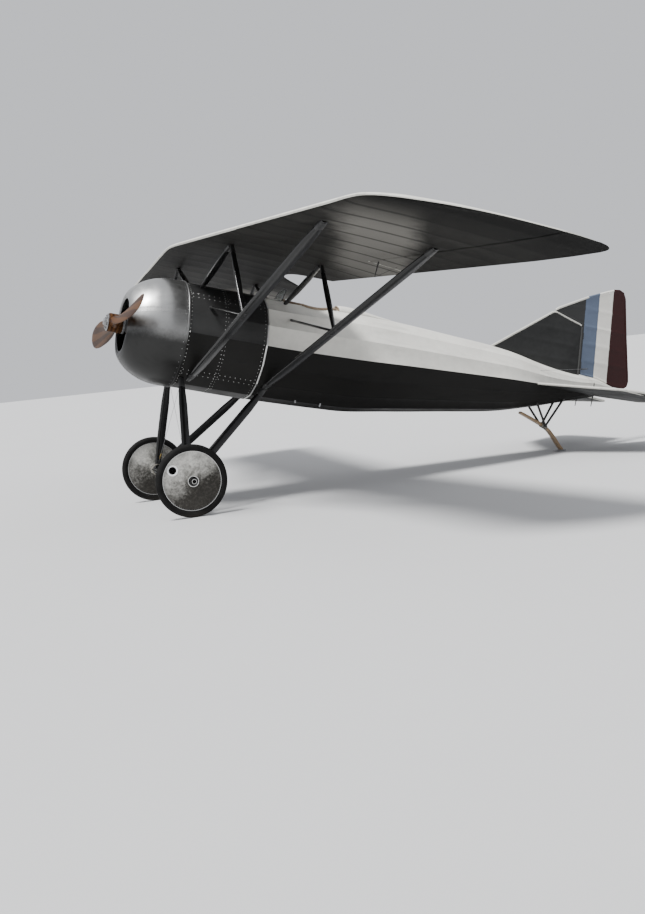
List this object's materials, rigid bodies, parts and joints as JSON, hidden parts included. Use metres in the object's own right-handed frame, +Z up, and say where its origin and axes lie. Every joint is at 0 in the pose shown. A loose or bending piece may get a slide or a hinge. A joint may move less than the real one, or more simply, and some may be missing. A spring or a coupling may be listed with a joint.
{
  "type": "parasol monoplane",
  "caption": "Single-seat parasol monoplane with a swept strut-braced wing, round faceted fuselage, cowled rotary engine, wooden propeller, disc wheels and a tail skid.",
  "frame": {"origin": "on the ground, under the middle of the bounding box", "axes": "+X towards the tail, +Y to starboard, +Z up; the aircraft stands on wheels and tail skid with its thrust line 15 degrees nose-up"},
  "size_m": [5.7646, 8.51, 2.4707],
  "materials": {
    "panel_metal": "satin sheet panels",
    "polished_metal": "polished sheet",
    "covering": "doped linen, pale above and dark below",
    "covering_grey": "doped linen",
    "strut_wood": "dark gloss enamel",
    "propeller_wood": "varnished laminated wood",
    "engine_steel": "machined and oiled",
    "shock_cord": "wound elastic cord",
    "leather": "worn leather",
    "glass": "clear",
    "tyre": "smooth black rubber",
    "wheel_cover": "painted linen disc cover"
  },
  "bodies": {
    "airframe": {"fuselage_forward": "panel_metal", "fuselage_cockpit": "covering", "fuselage_rear": "covering", "headrest": "covering", "cockpit_coaming": "leather", "engine_cowl": "polished_metal", "wing_port": "covering", "wing_starboard": "covering", "fin": "covering_grey", "stabilizer_port": "covering_grey", "stabilizer_starboard": "covering_grey", "main_strut_front_port": "strut_wood", "wing_brace_front_port": "strut_wood", "side_brace_front_port": "strut_wood", "cabane_strut_front_port": "strut_wood", "main_strut_rear_port": "strut_wood", "wing_brace_rear_port": "strut_wood", "side_brace_rear_port": "strut_wood", "cabane_strut_rear_port": "strut_wood", "main_strut_front_starboard": "strut_wood", "wing_brace_front_starboard": "strut_wood", "side_brace_front_starboard": "strut_wood", "cabane_strut_front_starboard": "strut_wood", "main_strut_rear_starboard": "strut_wood", "wing_brace_rear_starboard": "strut_wood", "side_brace_rear_starboard": "strut_wood", "cabane_strut_rear_starboard": "strut_wood", "gear_leg_front_port": "strut_wood", "gear_leg_rear_port": "strut_wood", "axle_fitting_port": "shock_cord", "gear_leg_front_starboard": "strut_wood", "gear_leg_rear_starboard": "strut_wood", "axle_fitting_starboard": "shock_cord", "spreader_front": "strut_wood", "spreader_rear": "strut_wood", "axle": "engine_steel", "tail_skid_pylon": "engine_steel", "tail_skid": "propeller_wood", "windscreen": "glass", "pilot_seat": "propeller_wood", "instrument_board": "propeller_wood", "control_column": "engine_steel"},
    "engine": {"rotary_engine": "engine_steel", "propeller": "propeller_wood", "propeller_hub": "engine_steel"},
    "wheel_port": {"tyre_port": "tyre", "wheel_port": "wheel_cover"},
    "wheel_starboard": {"tyre_starboard": "tyre", "wheel_starboard": "wheel_cover"},
    "aileron_port": {"aileron_port": "covering"},
    "aileron_starboard": {"aileron_starboard": "covering"},
    "elevator": {"elevator": "covering_grey"},
    "rudder": {"rudder": "covering_grey"}
  },
  "joints": [
    {"name": "propeller_spin", "type": "hinge", "parent": "airframe", "child": "engine", "pos_m": [-2.77176, 0, 1.78956], "axis": [-0.9659, 0, 0.2588], "continuous": true},
    {"name": "wheel_port_spin", "type": "hinge", "parent": "airframe", "child": "wheel_port", "pos_m": [-2.40345, -0.8, 0.3243], "axis": [0, 1, 0], "continuous": true},
    {"name": "wheel_starboard_spin", "type": "hinge", "parent": "airframe", "child": "wheel_starboard", "pos_m": [-2.40345, 0.8, 0.3243], "axis": [0, 1, 0], "continuous": true},
    {"name": "aileron_port_hinge", "type": "hinge", "parent": "airframe", "child": "aileron_port", "pos_m": [-0.90271, -1.755, 2.05543], "axis": [-0.1025, 0.9936, 0.0475], "range_deg": [-20, 20]},
    {"name": "aileron_starboard_hinge", "type": "hinge", "parent": "airframe", "child": "aileron_starboard", "pos_m": [-0.90271, 1.755, 2.05543], "axis": [0.1025, 0.9936, -0.0475], "range_deg": [-20, 20]},
    {"name": "elevator_hinge", "type": "hinge", "parent": "airframe", "child": "elevator", "pos_m": [2.26184, 0, 0.58057], "axis": [0, 1, 0], "range_deg": [-25, 25]},
    {"name": "rudder_hinge", "type": "hinge", "parent": "airframe", "child": "rudder", "pos_m": [2.21278, 0, 0.76454], "axis": [0.1902, 0, 0.9818], "range_deg": [-25, 25]}
  ],
  "couplings": [
    {"joint": "aileron_starboard_hinge", "follows": "aileron_port_hinge", "ratio": -1}
  ]
}
